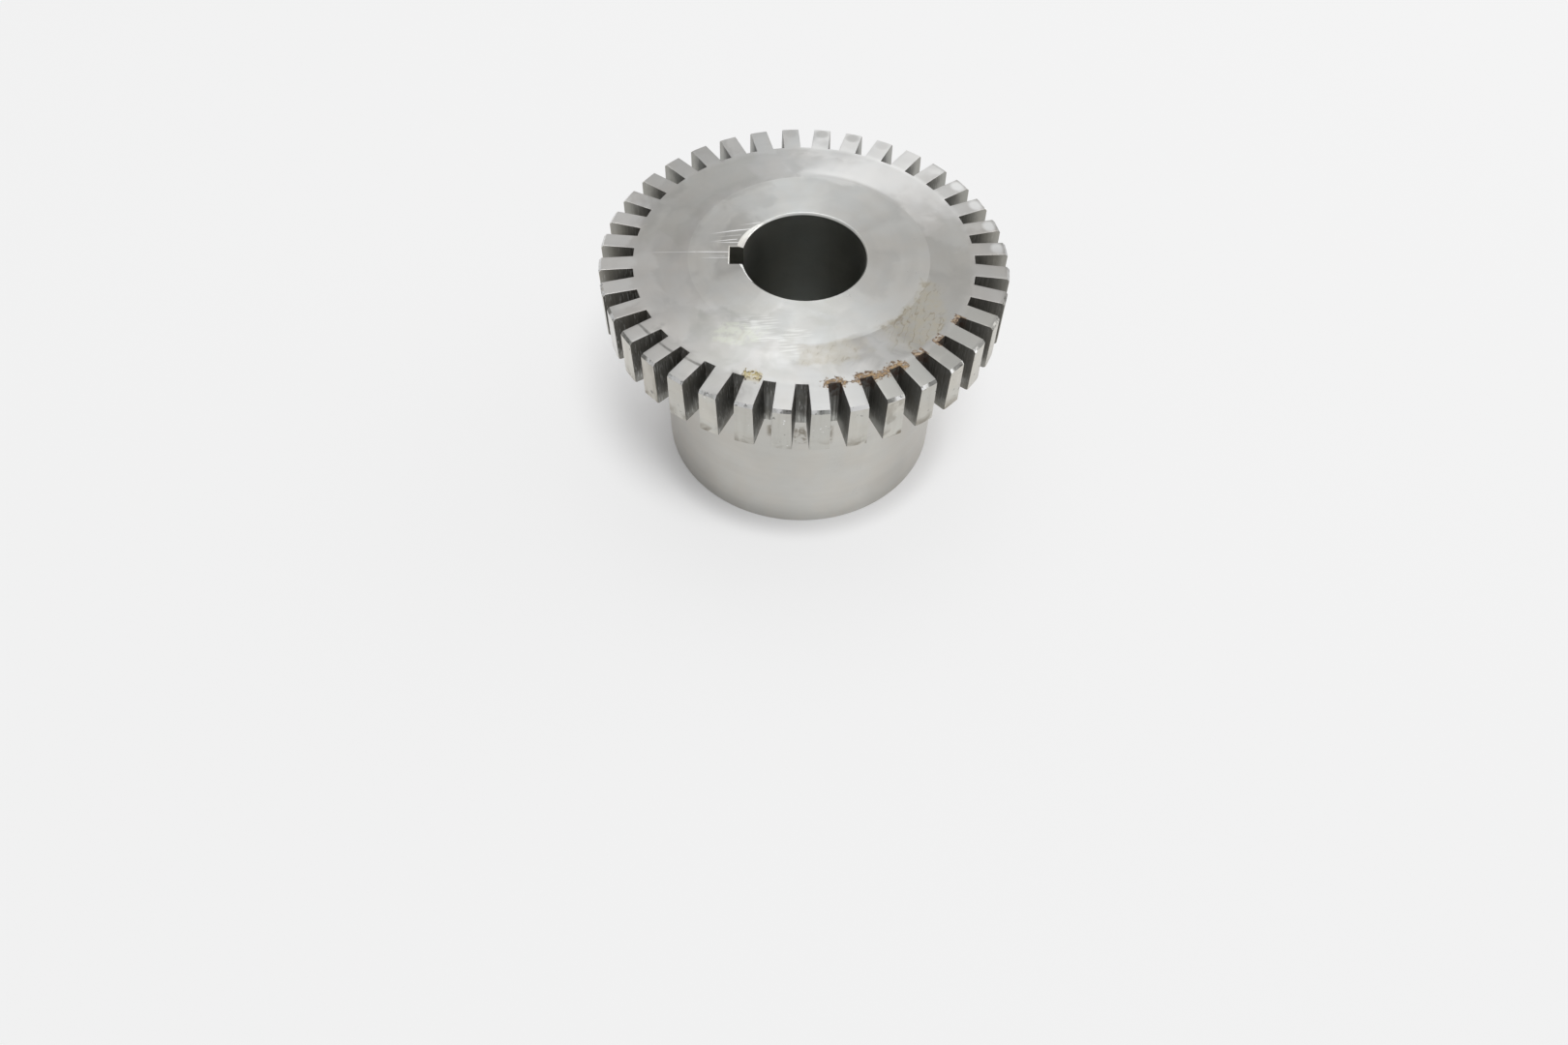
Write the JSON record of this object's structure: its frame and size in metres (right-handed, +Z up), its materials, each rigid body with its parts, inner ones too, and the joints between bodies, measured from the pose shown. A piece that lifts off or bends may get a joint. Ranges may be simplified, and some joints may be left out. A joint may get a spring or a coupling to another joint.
{
  "type": "grid coupling hub",
  "caption": "Keyed steel hub of a flexible grid shaft coupling: plain boss, flange slotted round its edge for the grid spring, and a set screw over the keyway.",
  "frame": {"origin": "on the bore's axis, at the end face of the boss that the hub stands on", "axes": "+Z up the bore to the slotted flange's face; -X towards the keyway and the set screw"},
  "size_m": [0.1044, 0.1044, 0.0635],
  "materials": {
    "turned_steel": "turned bare steel, satin",
    "black_oxide": "black oxide, satin"
  },
  "bodies": {
    "hub": {"hub": "turned_steel"},
    "set_screw": {"set_screw": "black_oxide"}
  },
  "joints": [
    {"name": "set_screw_travel", "type": "slide", "parent": "hub", "child": "set_screw", "axis": [-1, 0, 0], "range_m": [-0.0084, 0.0066]}
  ]
}
